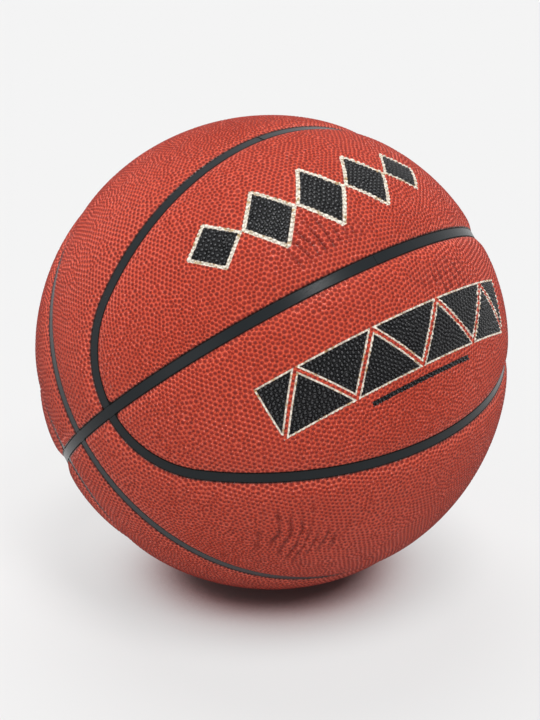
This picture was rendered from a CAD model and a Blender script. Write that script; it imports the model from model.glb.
import math

import bmesh
import bpy
import numpy
from mathutils import Euler, Matrix, Vector
from mathutils.geometry import delaunay_2d_cdt


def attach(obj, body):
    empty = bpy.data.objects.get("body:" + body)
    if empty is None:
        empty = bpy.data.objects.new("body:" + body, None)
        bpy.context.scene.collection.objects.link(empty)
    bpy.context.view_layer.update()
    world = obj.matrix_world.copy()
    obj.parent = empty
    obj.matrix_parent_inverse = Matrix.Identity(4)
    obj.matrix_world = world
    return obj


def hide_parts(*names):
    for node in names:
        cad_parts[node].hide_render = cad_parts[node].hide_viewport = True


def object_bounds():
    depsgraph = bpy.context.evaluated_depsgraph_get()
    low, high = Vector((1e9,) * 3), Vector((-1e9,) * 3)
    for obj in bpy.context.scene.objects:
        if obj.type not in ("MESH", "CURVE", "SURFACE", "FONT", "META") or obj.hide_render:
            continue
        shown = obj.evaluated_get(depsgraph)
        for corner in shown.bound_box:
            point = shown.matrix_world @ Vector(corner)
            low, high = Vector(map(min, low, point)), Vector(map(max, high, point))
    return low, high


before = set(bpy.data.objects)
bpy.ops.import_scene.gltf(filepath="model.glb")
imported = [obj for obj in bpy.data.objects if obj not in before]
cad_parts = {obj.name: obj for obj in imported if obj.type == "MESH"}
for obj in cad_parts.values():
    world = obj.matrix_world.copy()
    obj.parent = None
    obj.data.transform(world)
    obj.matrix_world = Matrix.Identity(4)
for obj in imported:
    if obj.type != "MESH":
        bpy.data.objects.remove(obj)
cad_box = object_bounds()

MM = 0.001

# The ball and its seams, as the solids have them
BALL_ROUND = 760 * MM
BALL_RADIUS = BALL_ROUND / (2 * math.pi)
CHANNEL_HALF = 2.6 * MM
NOSE_TURN = math.radians(47.27)
NOSE_HALF_ANGLE = math.radians(28.02)
SIDE_LEAN = math.acos(math.sin(NOSE_HALF_ANGLE) / math.cos(NOSE_TURN))
SEAM_HEADING = 140.43
SEAM_TILT = 38.51
SEAM_ROLL = 166.41

# The channels' dark edges, and the cut where the lengths of an oval channel meet
MARGIN_START = 1.9 * MM
MARGIN_END = 2.45 * MM
CUT_TURN = math.radians(-2.2)
CUT_REACH = 5.0 * MM
CUT_CORE = 0.30 * MM
CUT_HALF = 0.60 * MM

# The cover panels
COVER_THICKNESS = 0.55 * MM
PANEL_FOOT = BALL_RADIUS - 3.1 * MM
EDGE_ROLL = 0.25 * MM
EDGE_ROLL_STEPS = (45, 90)
EDGE_DARK_END = 0.90 * MM
EDGE_DARK_SHARE = 0.9
EDGE_DROP = 1.20 * MM
EDGE_REACH = 4.5 * MM
CROWN_DROP = 0.50 * MM
CROWN_REACH = 12.0 * MM
OVAL_CORNER = 4.4 * MM
BAND_CORNER = 0.9 * MM
VALVE_HOLE = 4.7 * MM
HOLE_DROP = 0.40 * MM
HOLE_REACH = 1.6 * MM
SLOPE_STEP = 0.05 * MM
SLOPE_GUIDE = (0.31, 0.77, 0.55)
RIM_ROUNDS = 3
MERGE_DISTANCE = 0.004 * MM

# The net of pebble centres
PEBBLE_PITCH = 2.28 * MM
FIRST_SEED = 11
NET_LEVEL = 7
NET_PITCH_TURN = 1.1
NET_HEADING = 0.7
NET_JITTER = 0.28 * PEBBLE_PITCH
NET_ROUNDS = 6
NET_GAIN = 1.4
NET_SPARE = 8 * PEBBLE_PITCH
NET_LONGEST_STEP = 1.0 * MM
NET_OVERHANG = -4.0

# The pebbles: their steps, in shares of a cell, and the shading on them
PEBBLE_HEIGHT = 0.62 * MM
PEBBLE_SHOULDER = 0.62
PEBBLE_CAP = 0.52
PEBBLE_SHOULDER_RISE = 0.64
RIM_CUT = -0.15
RIM_LIFT = 0.3
RIM_LIFT_REACH = 5.0 * MM
CORE_EDGE = 0.63
CORE_BLUR = 0.28
CORE_RAGGED = 0.12
DOME_TOP = 0.48
DOME_BOW = 0.25
DOME_HEIGHT = 0.50 * MM

# The creases: waves in the sheet, in one patch on each panel
CREASE_DEPTH = 0.40 * MM
CREASE_GAP = 4.4 * MM
CREASE_LINE = (0.02, 0.30)
CREASE_WANDER = 13 * MM
CREASE_WANDER_SCALE = 32.0
CREASE_CORE = 8 * MM
CREASE_SPREAD = 32 * MM
CREASE_BREAK = 48 * MM
CREASE_BREAK_SCALE = 75.0
CREASE_MARGIN = (5 * MM, 12 * MM)
CREASE_SHARPNESS = 1.7
CREASE_NETWORK = (0.35, 0.80)

# The printed ornaments, measured along the long seam and away from it
ROW_MIDDLE = math.radians(-6.0)
ROW_LATITUDE = math.radians(18.5)
ROW_PITCH = 28 * MM
ROW_REACH = 2
ROW_TAPER = 1.75 * ROW_REACH
LOZENGE_HALF_WIDTH = 12 * MM
LOZENGE_HALF_HEIGHT = 17 * MM
LOZENGE_FOIL = 1.9 * MM
BAND_MIDDLE = math.radians(-3.0)
BAND_LATITUDE = math.radians(-19.0)
BAND_HALF_LENGTH = 76 * MM
BAND_HALF_HEIGHT = 12.5 * MM
TOOTH_WIDTH = 19 * MM
TOOTH_GAP = 3.2 * MM
BAND_FOIL = 0.8 * MM
RULE_DROP = 18.5 * MM
RULE_HALF_LENGTH = 32 * MM
RULE_HALF_HEIGHT = 1.2 * MM
PRINT_SOFT = 0.12 * MM
INK_WORN = (0.12, 0.46)
FOIL_MOTTLE = (0.50, 0.66)
FOIL_MOTTLE_SCALE = 420.0

# The floor: its tone in the picture and for the light it throws back,
# the dark round the contact and the cast shadow's share
PALE = 0.863
FLOOR_HALF = 12.0
FLOOR_TONE = 0.655
FLOOR_BOUNCE = 0.69
CONTACT_REACH = 0.36 * BALL_RADIUS
CONTACT_CURVE = 1.5
CONTACT_BLUSH = 1.35
CONTACT_RED = 0.020
CONTACT_COOL = 0.0075
CONTACT_LEAN = (-0.10, -0.75, 0.65)
CONTACT_CORE = 0.08
CONTACT_FADE = 0.13
CAST_SHARE = 0.30
ROOM_LIGHT = 0.26

# The photograph's view, in its own pixels
VIEW_WIDTH = 540
VIEW_HEIGHT = 720
BALL_PIXELS = 237.4
BALL_PIXEL_X = 272.1
BALL_PIXEL_Y = 352.15
VIEW_ELEVATION = math.radians(18.0)
VIEW_DISTANCE = 6.192 * BALL_RADIUS
SENSOR_HEIGHT = 36.0

X_AXIS = Vector((1, 0, 0))
Y_AXIS = Vector((0, 1, 0))
Z_AXIS = Vector((0, 0, 1))


def turned(axis, degrees):
    return Matrix.Rotation(math.radians(degrees), 3, axis)


LIE = turned("Z", SEAM_HEADING) @ turned("Y", SEAM_TILT) @ turned("Z", SEAM_ROLL)
PANEL_TURNS = {
    "front_upper": Matrix.Identity(3),
    "front_lower": turned("X", 180),
    "back_upper": turned("Z", 180),
    "back_lower": turned("Y", 180),
}
VALVE_PANEL = "oval_panel_back_upper"
CREASE_MIDDLES = {"oval": Vector((0.97, -0.23, 0.10)), "band": Vector((0.33, 0.56, 0.76))}


# Drawing node trees
class Sketch:
    """A node tree being drawn: it adds nodes, joins their sockets and writes sums as chains of nodes."""

    VALUE_SUMS = {"DOT_PRODUCT", "LENGTH", "DISTANCE"}

    def __init__(self, tree):
        self.tree = tree

    def feed(self, socket, value):
        if isinstance(value, bpy.types.Node):
            value = value.outputs[0]
        if isinstance(value, bpy.types.NodeSocket):
            self.tree.links.new(value, socket)
        elif value is not None:
            socket.default_value = value

    def add(self, kind, inputs=None, **settings):
        node = self.tree.nodes.new(kind)
        for name, value in settings.items():
            setattr(node, name, value)
        for key, value in (inputs or {}).items():
            self.feed(node.inputs[key], value)
        return node

    def group(self, tree, inputs=None):
        kind = "GeometryNodeGroup" if tree.bl_idname == "GeometryNodeTree" else "ShaderNodeGroup"
        return self.add(kind, inputs, node_tree=tree)

    def math(self, operation, *values):
        node = self.add("ShaderNodeMath", dict(enumerate(values)), operation=operation)
        return node.outputs[0]

    def vector(self, operation, *values):
        node = self.add("ShaderNodeVectorMath", dict(enumerate(values)), operation=operation)
        return node.outputs["Value" if operation in self.VALUE_SUMS else "Vector"]

    def scaled(self, vector, factor):
        node = self.add("ShaderNodeVectorMath", {0: vector, "Scale": factor}, operation="SCALE")
        return node.outputs["Vector"]

    def parts(self, vector):
        return self.add("ShaderNodeSeparateXYZ", {0: vector}).outputs

    def ramp(self, value, low, high, start=0.0, end=1.0):
        inputs = {"Value": value, "From Min": low, "From Max": high, "To Min": start, "To Max": end}
        return self.add("ShaderNodeMapRange", inputs, interpolation_type="SMOOTHSTEP").outputs["Result"]

    def mix(self, factor, first, second):
        node = self.add("ShaderNodeMix", {0: factor, 2: first, 3: second}, data_type="FLOAT")
        return node.outputs[0]

    def mix_colour(self, factor, first, second):
        node = self.add("ShaderNodeMix", {0: factor, 6: first, 7: second}, data_type="RGBA")
        return node.outputs[2]

    def noise(self, vector, scale, detail=2.0, roughness=0.5):
        inputs = {"Vector": vector, "Scale": scale, "Detail": detail, "Roughness": roughness}
        return self.add("ShaderNodeTexNoise", inputs).outputs[0]


def new_group(name, kind, inputs, outputs):
    """An empty node group with named sockets; returns the tree, its sketch and the sockets inside it."""
    tree = bpy.data.node_groups.new(name, kind)
    for label, (socket, value) in inputs.items():
        item = tree.interface.new_socket(label, in_out="INPUT", socket_type="NodeSocket" + socket)
        if value is not None:
            item.default_value = value
    for label, socket in outputs.items():
        tree.interface.new_socket(label, in_out="OUTPUT", socket_type="NodeSocket" + socket)
    sketch = Sketch(tree)
    source = sketch.add("NodeGroupInput").outputs
    target = sketch.add("NodeGroupOutput").inputs
    return tree, sketch, source, target


# The panel's outline
SEAM_SHAPE = {
    "Ball radius": ("Float", BALL_RADIUS),
    "Nose axis": ("Vector", (math.cos(NOSE_TURN), math.sin(NOSE_TURN), 0)),
    "Nose half angle": ("Float", NOSE_HALF_ANGLE),
    "Side lean": ("Float", SIDE_LEAN),
}


def beyond_oval_seam(s, folded, source):
    """How far outside the middle of an oval seam a direction lies, folded into the seam's first quarter."""
    lean = source["Side lean"]
    down = s.math("MULTIPLY", s.math("SINE", lean), -1.0)
    side_pole = s.add("ShaderNodeCombineXYZ", {0: s.math("COSINE", lean), 1: 0.0, 2: down})
    side = s.math("MULTIPLY", s.vector("DOT_PRODUCT", folded, side_pole), -1.0)
    nose_turn = s.math("ARCCOSINE", s.vector("DOT_PRODUCT", folded, source["Nose axis"]))
    nose = s.math("SUBTRACT", nose_turn, source["Nose half angle"])
    past_side = s.vector("DOT_PRODUCT", folded, s.vector("CROSS_PRODUCT", source["Nose axis"], side_pole))
    at_nose = s.math("GREATER_THAN", past_side, 0.0)
    return s.math("MULTIPLY", s.mix(at_nose, side, nose), source["Ball radius"])


def outline_group():
    """How far a point lies inside the panel's wall: seam planes, the oval seam and the valve's hole."""
    tree, s, source, target = new_group(
        "Panel outline",
        "GeometryNodeTree",
        {
            "Position": ("Vector", None),
            **SEAM_SHAPE,
            "Channel half width": ("Float", CHANNEL_HALF),
            "Oval": ("Bool", True),
            "Oval corner": ("Float", OVAL_CORNER),
            "Band corner": ("Float", BAND_CORNER),
            "Valve axis": ("Vector", (0, 0, 1)),
            "Valve hole": ("Float", 0.0),
        },
        {"Inset": "Float"},
    )
    radius = source["Ball radius"]
    direction = s.vector("NORMALIZE", source["Position"])
    x, y, z = s.parts(direction)
    folded = s.add("ShaderNodeCombineXYZ", {0: x, 1: s.math("ABSOLUTE", y), 2: s.math("ABSOLUTE", z)})
    beyond_oval = beyond_oval_seam(s, folded, source)
    above_long_seam = s.math("MULTIPLY", z, radius)
    before_cross_seam = s.math("MULTIPLY", x, radius)
    in_oval = s.math(
        "SMOOTH_MIN",
        above_long_seam,
        s.math("MULTIPLY", beyond_oval, -1.0),
        source["Oval corner"],
    )
    in_band = s.math(
        "SMOOTH_MIN",
        s.math("SMOOTH_MIN", above_long_seam, before_cross_seam, source["Band corner"]),
        beyond_oval,
        source["Band corner"],
    )
    inside = s.add("GeometryNodeSwitch", {0: source["Oval"], 1: in_band, 2: in_oval}, input_type="FLOAT")
    from_wall = s.math("SUBTRACT", inside, source["Channel half width"])
    from_axis = s.math("MULTIPLY", s.vector("DISTANCE", direction, source["Valve axis"]), radius)
    from_hole = s.math("SUBTRACT", from_axis, source["Valve hole"])
    has_hole = s.math("GREATER_THAN", source["Valve hole"], 0.0)
    holed = s.mix(has_hole, from_wall, s.math("MINIMUM", from_wall, from_hole))
    s.feed(target["Inset"], holed)
    return tree


# The pebbled panel
def sums(first, second):
    return (first * second).sum(axis=1)[:, None]


def neighbours(centres):
    """Triangles between neighbouring centres, found on the flat, where circles on the ball stay circles."""
    middle = numpy.array((1.0, 0.0, 1.0)) / math.sqrt(2)
    right = numpy.array((0.0, 1.0, 0.0))
    up = numpy.cross(middle, right)
    flat = numpy.stack((centres @ right, centres @ up), 1) / (1 + centres @ middle)[:, None]
    faces = delaunay_2d_cdt([Vector(place) for place in flat.tolist()], [], [], 0, 1e-9)[2]
    return numpy.array(faces)


def evened(centres, faces):
    """Each centre moved to the middle of its own ground, the part of the ball that is nearest to it."""
    first, second, third = (centres[faces[:, corner]] for corner in range(3))
    along, across = second - first, third - first
    normal = numpy.cross(along, across)
    reach = sums(along, along) * numpy.cross(across, normal)
    reach = reach + sums(across, across) * numpy.cross(normal, along)
    meeting = first + reach / (2 * sums(normal, normal))
    moment = numpy.zeros_like(centres)
    area = numpy.zeros((len(centres), 1))
    for corner in range(3):
        here = faces[:, corner]
        place = centres[here]
        for way, sign in ((1, 1), (2, -1)):
            halfway = (place + centres[faces[:, (corner + way) % 3]]) / 2
            share = sign * sums(numpy.cross(halfway - place, meeting - place), place)
            numpy.add.at(area, here, share)
            numpy.add.at(moment, here, share * (place + halfway + meeting) / 3)
    step = moment / area - centres
    step[numpy.linalg.norm(step, axis=1) > NET_LONGEST_STEP / BALL_RADIUS] = 0
    centres = centres + NET_GAIN * step
    return centres / numpy.linalg.norm(centres, axis=1)[:, None]


def pebble_net(name, seed):
    """Pebble centres over a quarter of the ball in the seams' frame: a lattice shaken, then evened out."""
    lattice = bmesh.new()
    turn = Euler((seed, NET_PITCH_TURN * seed, NET_HEADING)).to_matrix().to_4x4()
    bmesh.ops.create_icosphere(lattice, subdivisions=NET_LEVEL, radius=1.0, matrix=turn)
    centres = numpy.array([tuple(corner.co) for corner in lattice.verts])
    lattice.free()
    spare = NET_SPARE / BALL_RADIUS
    centres = centres[(centres[:, 0] > -spare) & (centres[:, 2] > -spare)]
    dice = numpy.random.default_rng(seed)
    centres = centres + dice.normal(size=centres.shape) * NET_JITTER / BALL_RADIUS
    centres /= numpy.linalg.norm(centres, axis=1)[:, None]
    for _ in range(NET_ROUNDS):
        centres = evened(centres, neighbours(centres))
    net = bpy.data.meshes.new(name + "_net")
    net.from_pydata((centres * BALL_RADIUS).tolist(), [], neighbours(centres).tolist())
    return net


def on_ball(s, position, radius):
    return s.scaled(s.vector("NORMALIZE", position), radius)


def moved(s, geometry, position, selection=None):
    inputs = {"Geometry": geometry, "Position": position, "Selection": selection}
    return s.add("GeometryNodeSetPosition", inputs).outputs[0]


def kept(s, geometry, name, domain, value, kind="FLOAT"):
    inputs = {"Geometry": geometry, "Name": name, "Value": value}
    return s.add("GeometryNodeStoreNamedAttribute", inputs, data_type=kind, domain=domain).outputs[0]


def open_edges(s):
    faces = s.add("GeometryNodeInputMeshEdgeNeighbors").outputs[0]
    return s.add("FunctionNodeCompare", {2: faces, 3: 1}, data_type="INT", operation="EQUAL").outputs[0]


def panel_tree(outline):
    """A cover panel in the seams' own frame: uneven pebbles on a crowned, round-edged, closed sheet."""
    tree, s, source, target = new_group(
        "Pebbled panel",
        "GeometryNodeTree",
        {
            "Geometry": ("Geometry", None),
            "Ball radius": ("Float", BALL_RADIUS),
            "Oval": ("Bool", True),
            "Valve axis": ("Vector", (0, 0, 1)),
            "Valve hole": ("Float", 0.0),
            "Pebble pitch": ("Float", PEBBLE_PITCH),
            "Pebble height": ("Float", PEBBLE_HEIGHT),
            "Edge roll": ("Float", EDGE_ROLL),
            "Edge drop": ("Float", EDGE_DROP),
            "Edge reach": ("Float", EDGE_REACH),
            "Crown drop": ("Float", CROWN_DROP),
            "Crown reach": ("Float", CROWN_REACH),
            "Hole drop": ("Float", HOLE_DROP),
            "Hole reach": ("Float", HOLE_REACH),
            "Thickness": ("Float", COVER_THICKNESS),
            "Foot": ("Float", PANEL_FOOT),
            "Crease depth": ("Float", CREASE_DEPTH),
            "Crease gap": ("Float", CREASE_GAP),
            "Crease spread": ("Float", CREASE_SPREAD),
            "Crease middle": ("Vector", (0, 0, 1)),
            "Seed": ("Int", 1),
            "Panel turn": ("Vector", (0, 0, 0)),
            "Material": ("Material", None),
        },
        {"Geometry": "Geometry"},
    )
    radius = source["Ball radius"]
    position = s.add("GeometryNodeInputPosition").outputs[0]

    def inset_of(place, hole=source["Valve hole"]):
        settings = {name: source[name] for name in ("Ball radius", "Oval", "Valve axis")}
        return s.group(outline, {"Position": place, "Valve hole": hole, **settings}).outputs[0]

    # The net of pebble centres, kept over the panel and a little past it
    overhang = s.math("MULTIPLY", source["Pebble pitch"], NET_OVERHANG)
    far_off = s.math("LESS_THAN", inset_of(position), overhang)
    net = s.add(
        "GeometryNodeDeleteGeometry",
        {"Geometry": source["Geometry"], "Selection": far_off},
        domain="POINT",
    )

    # One cell round each centre, cut to the panel's outline
    cells = s.add("GeometryNodeDualMesh", {"Mesh": net})
    spare = s.math("MULTIPLY", source["Pebble pitch"], RIM_CUT)
    cut = s.math("LESS_THAN", inset_of(position), s.math("ADD", source["Edge roll"], spare))
    cells = s.add("GeometryNodeDeleteGeometry", {"Geometry": cells, "Selection": cut}, domain="FACE")
    outside = s.math("LESS_THAN", inset_of(position), source["Edge roll"])
    rim = s.add("FunctionNodeBooleanMath", {0: open_edges(s), 1: outside}, operation="OR").outputs[0]
    cells = kept(s, cells, "rim", "POINT", rim)
    rim = s.add("GeometryNodeInputNamedAttribute", {"Name": "rim"}, data_type="FLOAT").outputs[0]

    def slope_at(place):
        """The inset at a place, and the direction in which it grows."""
        first = s.vector("NORMALIZE", s.vector("CROSS_PRODUCT", place, SLOPE_GUIDE))
        second = s.vector("NORMALIZE", s.vector("CROSS_PRODUCT", place, first))
        here = inset_of(place)
        slope = None
        for way in (first, second):
            there = inset_of(s.vector("ADD", place, s.scaled(way, SLOPE_STEP)))
            rise = s.math("DIVIDE", s.math("SUBTRACT", there, here), SLOPE_STEP)
            part = s.scaled(way, rise)
            slope = part if slope is None else s.vector("ADD", slope, part)
        return here, s.vector("NORMALIZE", slope)

    # The outermost corners are moved onto the outline, and each cell keeps its tone, heart and span
    again = s.add("GeometryNodeRepeatInput")
    done = s.add("GeometryNodeRepeatOutput")
    again.pair_with_output(done)
    s.feed(again.inputs["Iterations"], RIM_ROUNDS)
    s.feed(again.inputs["Geometry"], cells)
    here, slope = slope_at(position)
    miss = s.math("SUBTRACT", source["Edge roll"], here)
    to_line = on_ball(s, s.vector("ADD", position, s.scaled(slope, miss)), radius)
    s.feed(done.inputs["Geometry"], moved(s, again.outputs["Geometry"], to_line, rim))
    cells = done.outputs["Geometry"]
    tone = s.add("FunctionNodeRandomValue", {"Seed": source["Seed"]}, data_type="FLOAT")
    cells = kept(s, cells, "tone", "FACE", tone.outputs[1])
    heart = s.add("ShaderNodeVectorRotate", rotation_type="EULER_XYZ")
    s.feed(heart.inputs["Vector"], s.vector("NORMALIZE", position))
    s.feed(heart.inputs["Rotation"], source["Panel turn"])
    cells = kept(s, cells, "heart", "FACE", heart.outputs[0], "FLOAT_VECTOR")
    area = s.add("GeometryNodeInputMeshFaceArea").outputs[0]
    cells = kept(s, cells, "span", "FACE", s.math("SQRT", s.math("DIVIDE", area, math.pi)))

    # Pebbles: each cell is raised in two steps
    raised = s.add("GeometryNodeExtrudeMesh", {"Mesh": cells, "Offset Scale": 0.0, "Individual": True})
    shoulder = raised.outputs["Top"]
    shrunk = s.add(
        "GeometryNodeScaleElements",
        {"Geometry": raised, "Selection": shoulder, "Scale": PEBBLE_SHOULDER},
    )
    capped = s.add(
        "GeometryNodeExtrudeMesh",
        {"Mesh": shrunk, "Selection": shoulder, "Offset Scale": 0.0, "Individual": True},
    )
    cap = capped.outputs["Top"]
    top = s.add("GeometryNodeScaleElements", {"Geometry": capped, "Selection": cap, "Scale": PEBBLE_CAP})
    rise = s.math(
        "ADD",
        s.math("MULTIPLY", shoulder, PEBBLE_SHOULDER_RISE),
        s.math("MULTIPLY", cap, 1.0 - PEBBLE_SHOULDER_RISE),
    )
    top = kept(s, top, "rise", "POINT", rise)
    inset = inset_of(position)
    top = kept(s, top, "inset", "POINT", inset)

    # Creases across the panel, in one patch
    uneven = s.math("SUBTRACT", s.noise(position, CREASE_WANDER_SCALE), 0.5)
    wander = s.math("MULTIPLY", uneven, CREASE_WANDER)
    across = s.math("DIVIDE", s.math("ADD", s.parts(position)[1], wander), source["Crease gap"])
    from_line = s.math("ABSOLUTE", s.math("SUBTRACT", s.math("FRACT", across), 0.5))
    line = s.ramp(from_line, *CREASE_LINE, 1.0, 0.0)
    from_middle = s.vector("DISTANCE", position, s.scaled(source["Crease middle"], radius))
    ragged = s.math("SUBTRACT", s.noise(position, CREASE_BREAK_SCALE, 1.0), 0.5)
    broken = s.math("MULTIPLY", ragged, CREASE_BREAK)
    patch = s.ramp(s.math("ADD", from_middle, broken), CREASE_CORE, source["Crease spread"], 1.0, 0.0)
    patch = s.math("MULTIPLY", patch, s.ramp(inset, *CREASE_MARGIN))
    crease = s.math("MULTIPLY", line, patch)
    top = kept(s, top, "crease", "POINT", crease)

    # The crowned, rolled-over top
    past_roll = s.math("SUBTRACT", inset, source["Edge roll"])
    past_bank = s.math("SUBTRACT", inset_of(position, 0.0), source["Edge roll"])

    def fall(name, past):
        reach = s.math("MULTIPLY", source[name + " reach"], -1.0)
        share = s.math("EXPONENT", s.math("DIVIDE", past, reach))
        return s.math("MULTIPLY", share, source[name + " drop"])

    bank = s.math("ADD", fall("Crown", past_bank), fall("Edge", past_bank))
    dip = s.math("SUBTRACT", fall("Hole", past_roll), fall("Hole", past_bank))
    drop = s.math("ADD", bank, dip)
    lift = s.ramp(past_roll, 0.0, RIM_LIFT_REACH, RIM_LIFT, 1.0)
    height = s.math("MULTIPLY", s.math("MULTIPLY", rise, lift), source["Pebble height"])
    sunk = s.math("MULTIPLY", crease, source["Crease depth"])
    level = s.math("SUBTRACT", s.math("SUBTRACT", radius, source["Pebble height"]), drop)
    surface = s.math("SUBTRACT", s.math("ADD", level, height), sunk)
    top = moved(s, top, on_ball(s, position, surface))

    # The rolled edge, the wall down to the foot and the underside
    _, inward = slope_at(on_ball(s, position, radius))
    home = s.add("GeometryNodeCaptureAttribute", {"Geometry": top})
    home.capture_items.new("VECTOR", "Place")
    home.capture_items.new("VECTOR", "Outward")
    home.capture_items.new("FLOAT", "Level")
    s.feed(home.inputs["Level"], level)
    s.feed(home.inputs["Place"], on_ball(s, position, radius))
    s.feed(home.inputs["Outward"], s.scaled(inward, -1.0))
    place = home.outputs["Place"]
    outward = home.outputs["Outward"]
    body = home.outputs["Geometry"]
    line_level = home.outputs["Level"]
    rolls = []
    for turn in EDGE_ROLL_STEPS:
        lean = math.radians(turn)
        out = s.math("MULTIPLY", source["Edge roll"], math.sin(lean))
        down = s.math("MULTIPLY", source["Edge roll"], 1.0 - math.cos(lean))
        rolls.append((out, s.math("SUBTRACT", line_level, down)))
    rolls.append((source["Edge roll"], source["Foot"]))
    rolls.append((0.0, source["Foot"]))
    rolls.append((0.0, s.math("SUBTRACT", line_level, source["Thickness"])))
    edge = open_edges(s)
    for out, height_there in rolls:
        grown = s.add(
            "GeometryNodeExtrudeMesh",
            {"Mesh": body, "Selection": edge, "Offset Scale": 0.0},
            mode="EDGES",
        )
        edge = grown.outputs["Top"]
        spot = on_ball(s, s.vector("ADD", place, s.scaled(outward, out)), height_there)
        body = moved(s, grown, spot, edge)
    under = s.add("GeometryNodeFlipFaces", {"Mesh": cells})
    under = moved(s, under, on_ball(s, position, s.math("SUBTRACT", level, source["Thickness"])))
    whole = s.add("GeometryNodeJoinGeometry")
    for piece in (body, under):
        s.tree.links.new(piece, whole.inputs[0])
    whole = s.add("GeometryNodeMergeByDistance", {"Geometry": whole, "Distance": MERGE_DISTANCE})
    whole = s.add("GeometryNodeTransform", {"Geometry": whole, "Rotation": source["Panel turn"]})
    whole = s.add("GeometryNodeSetShadeSmooth", {"Geometry": whole})
    whole = s.add("GeometryNodeRealizeInstances", {"Geometry": whole})
    whole = s.add("GeometryNodeSetMaterial", {"Geometry": whole, "Material": source["Material"]})
    s.feed(target["Geometry"], whole)
    return tree


def made_by(tree, name, net, values):
    """A plain mesh object from a node tree on this net, with these input values."""
    blank = bpy.data.objects.new(name + "_tree", net)
    bpy.context.scene.collection.objects.link(blank)
    modifier = blank.modifiers.new("Tree", "NODES")
    modifier.node_group = tree
    items = tree.interface.items_tree
    sockets = {item.name: item.identifier for item in items if item.in_out == "INPUT"}
    for label, value in values.items():
        modifier[sockets[label]] = value
    graph = bpy.context.evaluated_depsgraph_get()
    mesh = bpy.data.meshes.new_from_object(blank.evaluated_get(graph), depsgraph=graph)
    bpy.data.objects.remove(blank)
    mesh.name = name
    piece = bpy.data.objects.new(name, mesh)
    bpy.context.scene.collection.objects.link(piece)
    return piece


# Materials
def new_material(name):
    material = bpy.data.materials.new(name)
    material.use_nodes = True
    s = Sketch(material.node_tree)
    shader = material.node_tree.nodes["Principled BSDF"]
    return material, s, shader


def object_place(s):
    return s.add("ShaderNodeTexCoord").outputs["Object"]


def attribute(s, name):
    return s.add("ShaderNodeAttribute", attribute_name=name).outputs["Fac"]


def bump(s, height, strength, distance):
    return s.add("ShaderNodeBump", {"Height": height, "Strength": strength, "Distance": distance})


def grain_group():
    """Fine skin grain as a height, and a slow drift of tone over the surface."""
    tree, s, source, target = new_group(
        "Skin grain",
        "ShaderNodeTree",
        {
            "Position": ("Vector", None),
            "Grain size": ("Float", 0.3 * MM),
            "Drift size": ("Float", 30 * MM),
        },
        {"Grain": "Float", "Drift": "Float"},
    )
    fine = s.math("DIVIDE", 1.0, source["Grain size"])
    slow = s.math("DIVIDE", 1.0, source["Drift size"])
    s.feed(target["Grain"], s.noise(source["Position"], fine, 2.0, 0.6))
    s.feed(target["Drift"], s.noise(source["Position"], slow, 3.0, 0.55))
    return tree


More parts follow.
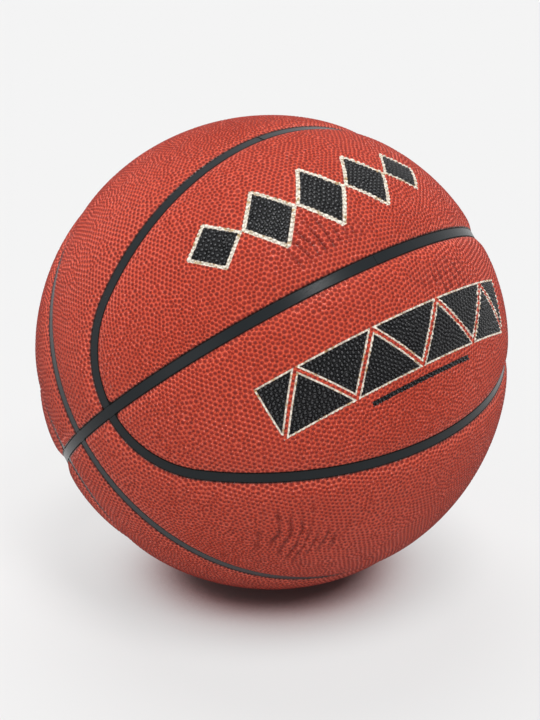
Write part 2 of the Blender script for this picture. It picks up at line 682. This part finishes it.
def ornament_group():
    """Masks of the printed ornaments: black ink, and the foil lines round it. A row of lozenges lies above
    the long seam, a band of pointed teeth and a short rule below it."""
    tree, s, source, target = new_group(
        "Printed ornaments",
        "ShaderNodeTree",
        {
            "Position": ("Vector", None),
            "Lozenge foil": ("Float", LOZENGE_FOIL),
            "Band foil": ("Float", BAND_FOIL),
        },
        {"Ink": "Float", "Foil": "Float"},
    )
    direction = s.vector("NORMALIZE", source["Position"])
    seam_axes = (LIE @ axis for axis in (X_AXIS, Y_AXIS, Z_AXIS))
    seam_x, seam_y, seam_z = (s.vector("DOT_PRODUCT", direction, axis) for axis in seam_axes)
    longitude = s.math("ARCTAN2", seam_y, seam_x)
    latitude = s.math("ARCSINE", seam_z)
    on_front = s.math("GREATER_THAN", seam_x, 0.0)

    def chart(middle, height):
        turn = s.math("SUBTRACT", longitude, middle)
        along = s.math("MULTIPLY", turn, BALL_RADIUS * math.cos(height))
        above = s.math("MULTIPLY", s.math("SUBTRACT", latitude, height), BALL_RADIUS)
        return along, above

    def beyond_box(along, above, half_length, half_height):
        over = s.math("SUBTRACT", s.math("ABSOLUTE", along), half_length)
        up = s.math("SUBTRACT", s.math("ABSOLUTE", above), half_height)
        return s.math("MAXIMUM", over, up)

    def filled(beyond):
        return s.math("MULTIPLY", s.ramp(beyond, -PRINT_SOFT, PRINT_SOFT, 1.0, 0.0), on_front)

    # The row folds onto one lozenge, and they shrink towards its ends
    along, above = chart(ROW_MIDDLE, ROW_LATITUDE)
    nearest = s.math("ROUND", s.math("DIVIDE", along, ROW_PITCH))
    nearest = s.math("MAXIMUM", s.math("MINIMUM", nearest, ROW_REACH), -ROW_REACH)
    step = s.math("MULTIPLY", nearest, ROW_PITCH)
    shrink = s.math("SUBTRACT", 1.0, s.math("POWER", s.math("DIVIDE", nearest, ROW_TAPER), 2.0))
    sideways = s.math("SUBTRACT", along, step)
    half_height = s.math("MULTIPLY", shrink, LOZENGE_HALF_HEIGHT)
    wide = s.math("DIVIDE", s.math("ABSOLUTE", sideways), LOZENGE_HALF_WIDTH)
    high = s.math("DIVIDE", s.math("ABSOLUTE", above), half_height)
    side = math.hypot(LOZENGE_HALF_WIDTH, LOZENGE_HALF_HEIGHT)
    slant = LOZENGE_HALF_WIDTH * LOZENGE_HALF_HEIGHT / side
    lozenge = s.math("MULTIPLY", s.math("SUBTRACT", s.math("ADD", wide, high), 1.0), slant)
    past_tip = beyond_box(sideways, above, LOZENGE_HALF_WIDTH, half_height)
    row = s.math("MAXIMUM", lozenge, past_tip)
    row_foil = s.math("SUBTRACT", row, source["Lozenge foil"])

    # The band is split by a zigzag into teeth that point up and down by turns
    along, above = chart(BAND_MIDDLE, BAND_LATITUDE)
    lean = math.hypot(TOOTH_WIDTH, 2 * BAND_HALF_HEIGHT)
    zigzag = s.math("SUBTRACT", s.math("PINGPONG", along, TOOTH_WIDTH), TOOTH_WIDTH / 2)
    zigzag = s.math("MULTIPLY", zigzag, 2 * BAND_HALF_HEIGHT / TOOTH_WIDTH)
    from_zigzag = s.math("ABSOLUTE", s.math("SUBTRACT", above, zigzag))
    from_zigzag = s.math("MULTIPLY", from_zigzag, TOOTH_WIDTH / lean)
    in_gap = s.math("SUBTRACT", TOOTH_GAP / 2, from_zigzag)
    band = s.math("MAXIMUM", beyond_box(along, above, BAND_HALF_LENGTH, BAND_HALF_HEIGHT), in_gap)
    band_foil = s.math("SUBTRACT", band, source["Band foil"])
    rule = beyond_box(along, s.math("ADD", above, RULE_DROP), RULE_HALF_LENGTH, RULE_HALF_HEIGHT)

    ink = filled(s.math("MINIMUM", s.math("MINIMUM", row, band), rule))
    foil = filled(s.math("MINIMUM", row_foil, band_foil))
    bare_foil = s.math("MULTIPLY", foil, s.math("SUBTRACT", 1.0, ink))
    s.feed(target["Ink"], ink)
    s.feed(target["Foil"], bare_foil)
    return tree


def pebble_group():
    """How far out on its pebble a point lies: 0 at the heart, 1 at the rim."""
    tree, s, source, target = new_group(
        "Pebble",
        "ShaderNodeTree",
        {
            "Position": ("Vector", None),
            "Heart": ("Vector", None),
            "Span": ("Float", PEBBLE_PITCH / 2),
            "Ball radius": ("Float", BALL_RADIUS),
        },
        {"Out": "Float"},
    )
    apart = s.vector("DISTANCE", s.vector("NORMALIZE", source["Position"]), source["Heart"])
    away = s.math("MULTIPLY", apart, source["Ball radius"])
    s.feed(target["Out"], s.math("DIVIDE", away, source["Span"]))
    return tree


def cover_material(grain, pebble, ornaments):
    material, s, shader = new_material("pebbled_cover")
    place = object_place(s)
    skin = s.group(grain, {"Position": place, "Grain size": 0.35 * MM, "Drift size": 22 * MM})
    tone = attribute(s, "tone")
    crease = attribute(s, "crease")
    heart = s.add("ShaderNodeAttribute", attribute_name="heart").outputs["Vector"]
    out = s.group(pebble, {"Position": place, "Heart": heart, "Span": attribute(s, "span")})
    ragged = s.math("MULTIPLY", s.math("SUBTRACT", skin.outputs["Grain"], 0.5), CORE_RAGGED)
    uneven = s.math("ADD", out, ragged)
    core = s.ramp(uneven, CORE_EDGE - CORE_BLUR, CORE_EDGE + CORE_BLUR, 1.0, 0.0)
    bowed = s.math("SUBTRACT", 1.0, s.math("POWER", s.math("MINIMUM", out, 1.0), 2.0))
    dome = s.mix(DOME_BOW, s.ramp(out, DOME_TOP, 1.0, 1.0, 0.0), bowed)
    network = s.mix_colour(skin.outputs["Drift"], (0.67, 0.090, 0.046, 1), (0.78, 0.108, 0.056, 1))
    cores = s.mix_colour(tone, (0.185, 0.009, 0.004, 1), (0.275, 0.0145, 0.0065, 1))
    leather = s.mix_colour(core, network, cores)
    folded = s.math("MULTIPLY", s.math("POWER", crease, CREASE_SHARPNESS), s.ramp(out, *CREASE_NETWORK))
    leather = s.mix_colour(folded, leather, (0.13, 0.008, 0.005, 1))
    edge = s.ramp(attribute(s, "inset"), EDGE_ROLL, EDGE_DARK_END, EDGE_DARK_SHARE, 0.0)
    leather = s.mix_colour(edge, leather, (0.025, 0.005, 0.004, 1))

    # Print: worn off a little on the pebble tops, the foil mottled
    print_mask = s.group(ornaments, {"Position": place})
    worn = s.ramp(out, *INK_WORN, 1.0, 0.0)
    ink = s.mix_colour(worn, (0.006, 0.006, 0.007, 1), (0.040, 0.042, 0.045, 1))
    mottle = s.ramp(s.noise(place, FOIL_MOTTLE_SCALE, 4.0, 0.6), *FOIL_MOTTLE)
    foil = s.mix_colour(mottle, (0.84, 0.79, 0.68, 1), (0.48, 0.32, 0.14, 1))
    colour = s.mix_colour(print_mask.outputs["Ink"], leather, ink)
    colour = s.mix_colour(print_mask.outputs["Foil"], colour, foil)
    s.feed(shader.inputs["Base Color"], colour)
    rough = s.mix(print_mask.outputs["Ink"], s.mix(core, 0.27, 0.66), 0.25)
    s.feed(shader.inputs["Roughness"], s.mix(print_mask.outputs["Foil"], rough, 0.30))
    shader.inputs["Specular IOR Level"].default_value = 0.38
    domed = bump(s, dome, 1.0, DOME_HEIGHT)
    grained = bump(s, skin.outputs["Grain"], 0.35, 0.06 * MM)
    s.feed(grained.inputs["Normal"], domed)
    s.feed(shader.inputs["Normal"], grained)
    return material


def channel_group():
    """The dark of a channel: 0 on its face, 1 along its edges and in the cut across an oval channel."""
    tree, s, source, target = new_group(
        "Channel margin",
        "ShaderNodeTree",
        {
            "Position": ("Vector", None),
            **SEAM_SHAPE,
            "Margin start": ("Float", MARGIN_START),
            "Margin end": ("Float", MARGIN_END),
        },
        {"Margin": "Float"},
    )
    direction = s.vector("NORMALIZE", source["Position"])
    seam_place = [s.vector("DOT_PRODUCT", direction, LIE @ axis) for axis in (X_AXIS, Y_AXIS, Z_AXIS)]
    x, y, z = (s.math("ABSOLUTE", part) for part in seam_place)
    folded = s.add("ShaderNodeCombineXYZ", {0: x, 1: y, 2: z})
    from_oval = s.math("ABSOLUTE", beyond_oval_seam(s, folded, source))
    from_straight = s.math("MULTIPLY", s.math("MINIMUM", x, z), source["Ball radius"])
    away = s.math("MINIMUM", from_oval, from_straight)
    margin = s.ramp(away, source["Margin start"], source["Margin end"])

    # Both oval channels are cut alike: the back one is the front one after half a turn
    along = s.math("MULTIPLY", seam_place[1], s.math("SIGN", seam_place[0]))
    half_turned = s.add("ShaderNodeCombineXYZ", {0: x, 1: along, 2: seam_place[2]})
    side_middle = Vector((math.sin(SIDE_LEAN), 0, math.cos(SIDE_LEAN)))
    cut_place = side_middle * math.cos(CUT_TURN) + Y_AXIS * math.sin(CUT_TURN)
    cut_across = Y_AXIS * math.cos(CUT_TURN) - side_middle * math.sin(CUT_TURN)
    past_cut = s.vector("DOT_PRODUCT", half_turned, cut_across)
    from_cut = s.math("ABSOLUTE", s.math("MULTIPLY", past_cut, source["Ball radius"]))
    from_place = s.vector("DISTANCE", half_turned, cut_place)
    near_cut = s.math("LESS_THAN", from_place, CUT_REACH / BALL_RADIUS)
    cut = s.math("MULTIPLY", s.ramp(from_cut, CUT_CORE, CUT_HALF, 1.0, 0.0), near_cut)
    s.feed(target["Margin"], s.math("MAXIMUM", margin, cut))
    return tree


def channel_material(grain, channel):
    material, s, shader = new_material("channel_rubber")
    place = object_place(s)
    skin = s.group(grain, {"Position": place, "Grain size": 0.25 * MM, "Drift size": 18 * MM})
    margin = s.group(channel, {"Position": place}).outputs[0]
    face = s.mix_colour(skin.outputs["Drift"], (0.007, 0.010, 0.012, 1), (0.011, 0.015, 0.018, 1))
    s.feed(shader.inputs["Base Color"], s.mix_colour(margin, face, (0.003, 0.003, 0.003, 1)))
    s.feed(shader.inputs["Roughness"], s.mix(margin, s.mix(skin.outputs["Drift"], 0.22, 0.30), 0.9))
    shader.inputs["Specular IOR Level"].default_value = 0.2
    s.feed(shader.inputs["Normal"], bump(s, skin.outputs["Grain"], 0.4, 0.03 * MM))
    return material


def rubber_material(name, grain, dark, light, rough):
    material, s, shader = new_material(name)
    place = object_place(s)
    skin = s.group(grain, {"Position": place, "Grain size": 0.25 * MM, "Drift size": 18 * MM})
    s.feed(shader.inputs["Base Color"], s.mix_colour(skin.outputs["Drift"], dark, light))
    s.feed(shader.inputs["Roughness"], s.mix(skin.outputs["Drift"], rough - 0.05, rough + 0.05))
    shader.inputs["Specular IOR Level"].default_value = 0.3
    s.feed(shader.inputs["Normal"], bump(s, skin.outputs["Grain"], 0.3, 0.03 * MM))
    return material


def cloth_material(name, grain, warp, weft, thread):
    """Woven or wound thread: fine crossing ridges."""
    material, s, shader = new_material(name)
    place = object_place(s)
    skin = s.group(grain, {"Position": place, "Grain size": 0.3 * MM, "Drift size": 15 * MM})
    waves = {"Vector": place, "Scale": 0.31 / thread, "Distortion": 0.6}
    over, across = (s.add("ShaderNodeTexWave", waves, bands_direction=way) for way in ("X", "Z"))
    ridge = s.math("MAXIMUM", over.outputs["Fac"], across.outputs["Fac"])
    s.feed(shader.inputs["Base Color"], s.mix_colour(ridge, weft, warp))
    s.feed(shader.inputs["Roughness"], s.mix(skin.outputs["Drift"], 0.8, 0.95))
    s.feed(shader.inputs["Normal"], bump(s, ridge, 0.5, 0.1 * MM))
    return material


def dress_node(name, material):
    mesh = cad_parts[name].data
    mesh.materials.clear()
    mesh.materials.append(material)


def make_panels(tree, material):
    for number, (place, turn) in enumerate(PANEL_TURNS.items()):
        seed = FIRST_SEED + number
        net = pebble_net(place, seed)
        whole_turn = LIE @ turn
        for shape in ("oval", "band"):
            name = f"{shape}_panel_{place}"
            values = {
                "Oval": shape == "oval",
                "Seed": seed,
                "Panel turn": Vector(whole_turn.to_euler()),
                "Crease middle": CREASE_MIDDLES[shape],
                "Material": material,
            }
            if name == VALVE_PANEL:
                values["Valve axis"] = whole_turn.inverted() @ Y_AXIS
                values["Valve hole"] = VALVE_HOLE
            piece = made_by(tree, "pebbled_" + name, net, values)
            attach(piece, "ball")
            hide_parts(name)


# The stage
def seen_rays(s):
    """1 for what the camera sees straight or mirrored, 0 for the rays that light the ball."""
    rays = s.add("ShaderNodeLightPath").outputs
    return s.math("MAXIMUM", rays["Is Camera Ray"], rays["Is Glossy Ray"])


def floor_material():
    """A pale floor: seen, an even tone with the dark of the contact and a share of the cast shadow."""
    material, s, shader = new_material("pale_floor")
    shader.inputs["Base Color"].default_value = (FLOOR_BOUNCE, FLOOR_BOUNCE, FLOOR_BOUNCE, 1)
    shader.inputs["Roughness"].default_value = 0.9
    shader.inputs["Specular IOR Level"].default_value = 0.0
    contact = {"Distance": CONTACT_REACH, "Normal": CONTACT_LEAN}
    open_sky = s.add("ShaderNodeAmbientOcclusion", contact, samples=32).outputs["AO"]
    clear = s.math("SUBTRACT", s.math("POWER", open_sky, CONTACT_CURVE), CONTACT_CORE)
    clear = s.math("MAXIMUM", clear, 0.0)
    lit = s.math("SUBTRACT", 1.0, s.math("EXPONENT", s.math("DIVIDE", clear, -CONTACT_FADE)))
    red = s.mix(lit, CONTACT_RED, PALE)
    cool = s.mix(s.math("POWER", lit, CONTACT_BLUSH), CONTACT_COOL, PALE)
    shade = s.add("ShaderNodeCombineColor", {0: red, 1: cool, 2: cool})
    even = s.add("ShaderNodeEmission", {"Color": shade, "Strength": 1.0})
    cast = s.add("ShaderNodeBsdfDiffuse", {"Color": (FLOOR_TONE, FLOOR_TONE, FLOOR_TONE, 1)})
    seen = s.add("ShaderNodeMixShader", {0: CAST_SHARE, 1: even.outputs[0], 2: cast.outputs[0]})
    whole = s.add("ShaderNodeMixShader", {0: seen_rays(s), 1: shader.outputs[0], 2: seen.outputs[0]})
    s.feed(material.node_tree.nodes["Material Output"].inputs["Surface"], whole)
    return material


def make_floor():
    half = FLOOR_HALF
    level = cad_box[0][2]
    corners = [(-half, -half, level), (half, -half, level), (half, half, level), (-half, half, level)]
    mesh = bpy.data.meshes.new("floor")
    mesh.from_pydata(corners, [], [(0, 1, 2, 3)])
    floor = bpy.data.objects.new("floor", mesh)
    bpy.context.scene.collection.objects.link(floor)
    mesh.materials.append(floor_material())


def make_lamp(name, towards, strength, spread, mirrored=True):
    """A broad, far soft lamp, seen in reflections or not; towards points from the ball to the lamp."""
    data = bpy.data.lights.new(name, "SUN")
    data.energy = strength
    data.angle = math.radians(spread)
    lamp = bpy.data.objects.new(name, data)
    lamp.visible_glossy = mirrored
    lamp.rotation_euler = Vector(towards).to_track_quat("Z", "Y").to_euler()
    bpy.context.scene.collection.objects.link(lamp)


def make_world(level):
    world = bpy.data.worlds.new("soft_room")
    world.use_nodes = True
    s = Sketch(world.node_tree)
    room = world.node_tree.nodes["Background"]
    room.inputs["Color"].default_value = (1.0, 1.0, 1.0, 1)
    s.feed(room.inputs["Strength"], s.mix(seen_rays(s), level, PALE))
    bpy.context.scene.world = world


def make_camera():
    data = bpy.data.cameras.new("view")
    tangent = BALL_PIXELS / (VIEW_HEIGHT / 2) * math.sqrt((VIEW_DISTANCE / BALL_RADIUS) ** 2 - 1)
    data.sensor_fit = "VERTICAL"
    data.sensor_height = SENSOR_HEIGHT
    data.lens = tangent * SENSOR_HEIGHT / 2
    data.shift_x = (VIEW_WIDTH / 2 - BALL_PIXEL_X) / VIEW_HEIGHT
    data.shift_y = (BALL_PIXEL_Y - VIEW_HEIGHT / 2) / VIEW_HEIGHT
    data.clip_start = 0.01
    data.clip_end = 100.0
    camera = bpy.data.objects.new("view", data)
    towards = Vector((0, -math.cos(VIEW_ELEVATION), math.sin(VIEW_ELEVATION)))
    camera.location = towards * VIEW_DISTANCE
    camera.rotation_euler = towards.to_track_quat("Z", "Y").to_euler()
    bpy.context.scene.collection.objects.link(camera)
    bpy.context.scene.camera = camera


grain = grain_group()
cover = cover_material(grain, pebble_group(), ornament_group())
channel = channel_material(grain, channel_group())
valve = rubber_material("valve_rubber", grain, (0.020, 0.020, 0.021, 1), (0.036, 0.036, 0.037, 1), 0.55)
carcass = rubber_material("carcass_rubber", grain, (0.035, 0.035, 0.035, 1), (0.060, 0.060, 0.058, 1), 0.7)
bladder = rubber_material("bladder_rubber", grain, (0.015, 0.015, 0.017, 1), (0.025, 0.025, 0.028, 1), 0.4)
sponge = cloth_material("backing_cloth", grain, (0.66, 0.64, 0.58, 1), (0.54, 0.52, 0.46, 1), 0.8 * MM)
winding = cloth_material("wound_thread", grain, (0.74, 0.72, 0.66, 1), (0.58, 0.56, 0.50, 1), 0.5 * MM)

NODE_FINISHES = {
    "panel": cover,
    "sponge": sponge,
    "strip": channel,
    "valve": valve,
    "carcass": carcass,
    "winding": winding,
    "bladder": bladder,
}
for node_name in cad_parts:
    for word, finish in NODE_FINISHES.items():
        if word in node_name:
            dress_node(node_name, finish)

make_panels(panel_tree(outline_group()), cover)

bpy.context.scene.view_settings.view_transform = "Standard"
make_floor()
make_world(ROOM_LIGHT)
make_lamp("key", (0.12, -0.27, 0.95), 1.74, 20)
make_lamp("sheen", (0.30, -0.55, 0.78), 0.60, 12)
make_lamp("top_light", (-0.10, 0.48, 0.87), 1.90, 40, mirrored=False)
make_lamp("left_fill", (-0.80, -0.45, 0.40), 0.52, 60)
make_camera()
